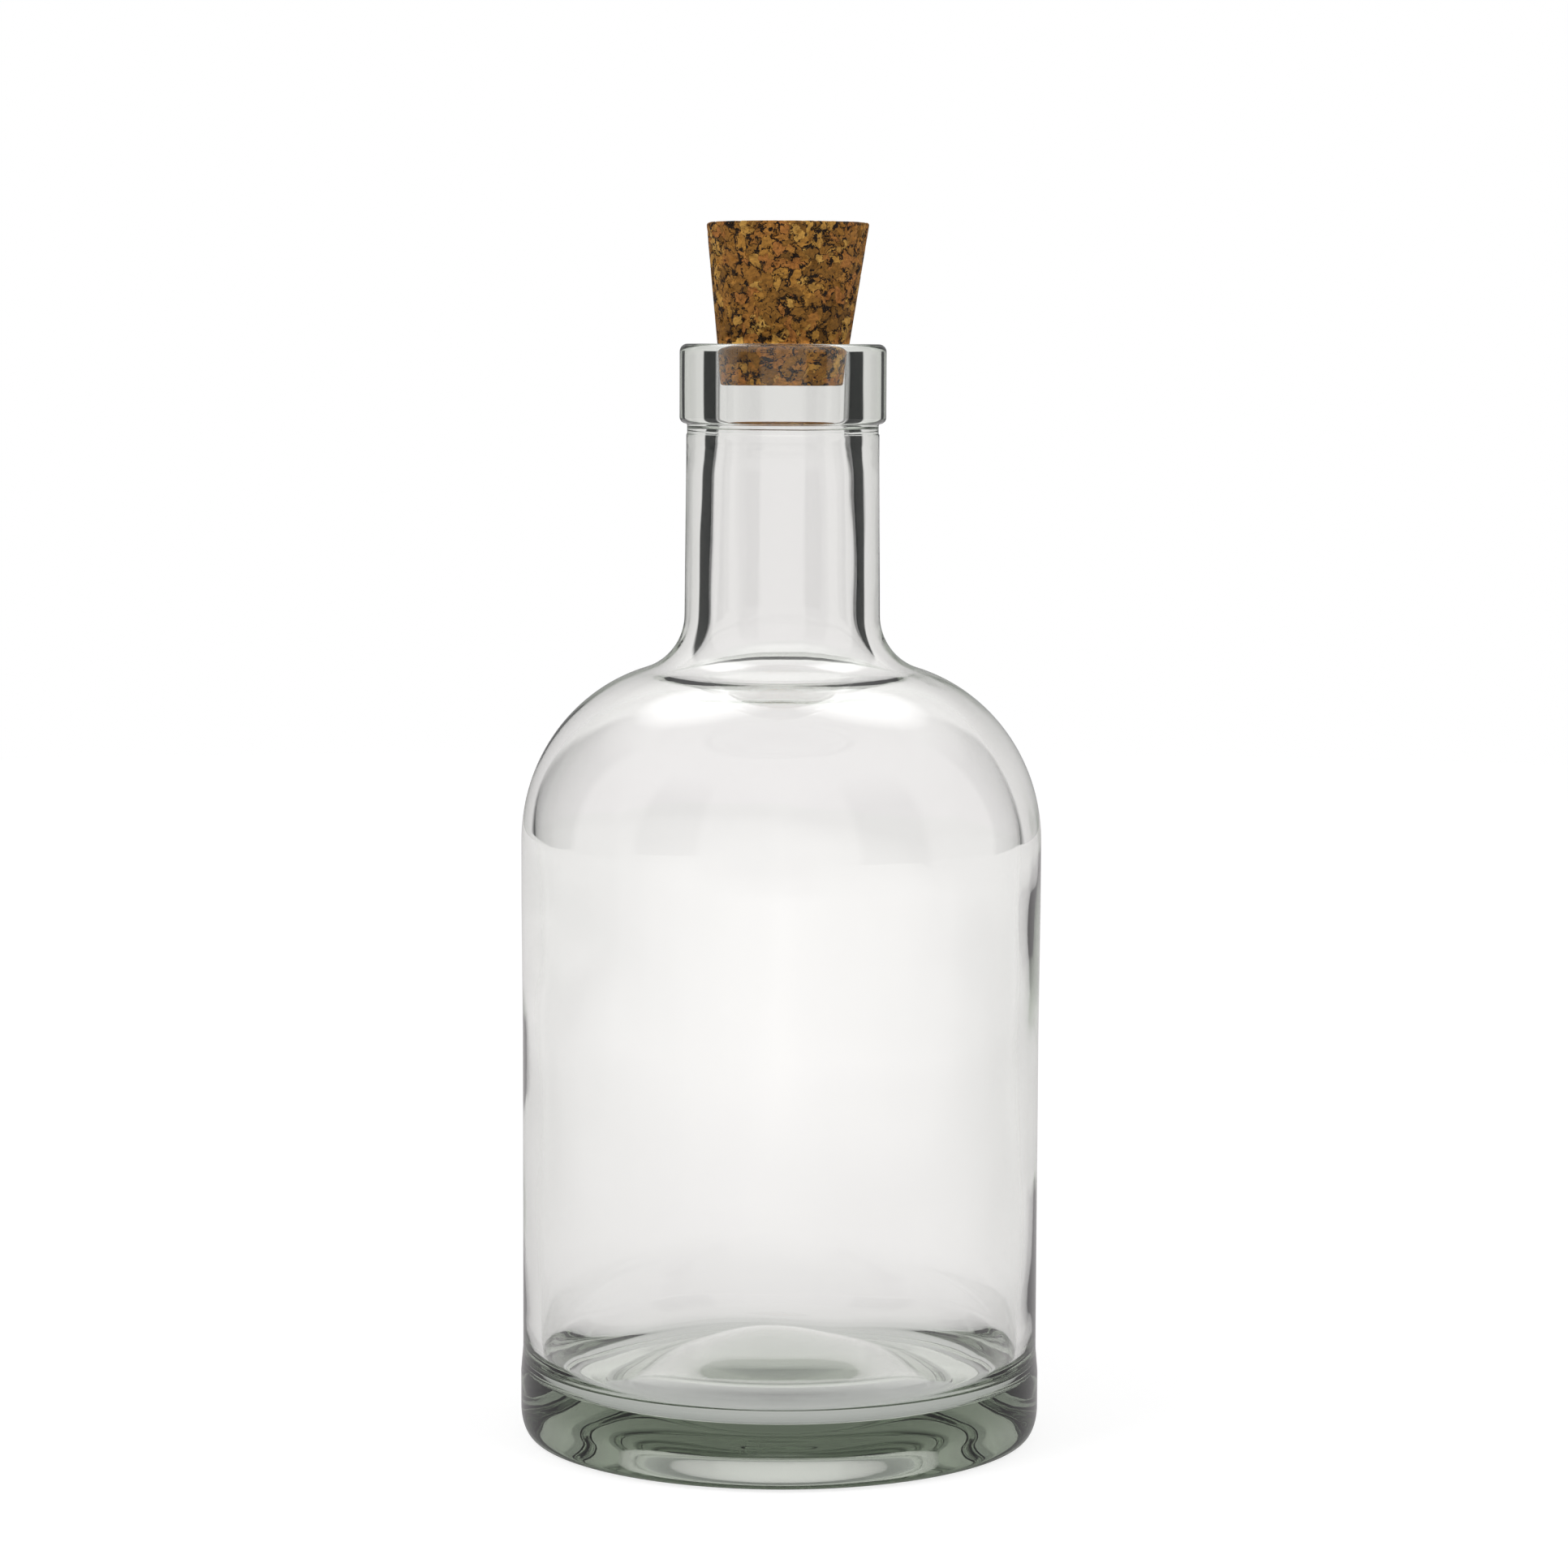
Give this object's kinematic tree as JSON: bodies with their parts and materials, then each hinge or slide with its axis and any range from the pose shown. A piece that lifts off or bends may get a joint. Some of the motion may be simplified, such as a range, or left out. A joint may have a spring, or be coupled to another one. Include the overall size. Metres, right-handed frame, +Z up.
{
  "type": "corked glass bottle",
  "caption": "Clear glass bottle with a straight round body, domed shoulder, narrow neck, band finish and pushed-up base, closed by a tapered cork.",
  "frame": {"origin": "middle of the flat ring that the bottle stands on, on the bottle's axis", "axes": "+Z up along the bottle's axis towards the cork; +X to the right and -Y to the viewer in the picture"},
  "size_m": [0.0742, 0.0742, 0.1727],
  "materials": {
    "clear_glass": "clear, polished, with a faint green cast in the thick base",
    "cork": "matt agglomerated cork, tan and reddish-brown grains with dark crevices"
  },
  "bodies": {
    "bottle": {"bottle": "clear_glass"},
    "stopper": {"cork_stopper": "cork"}
  },
  "joints": [
    {"name": "cork_pull", "type": "slide", "parent": "bottle", "child": "stopper", "axis": [0, 0, 1], "range_m": [0, 0.03]}
  ]
}
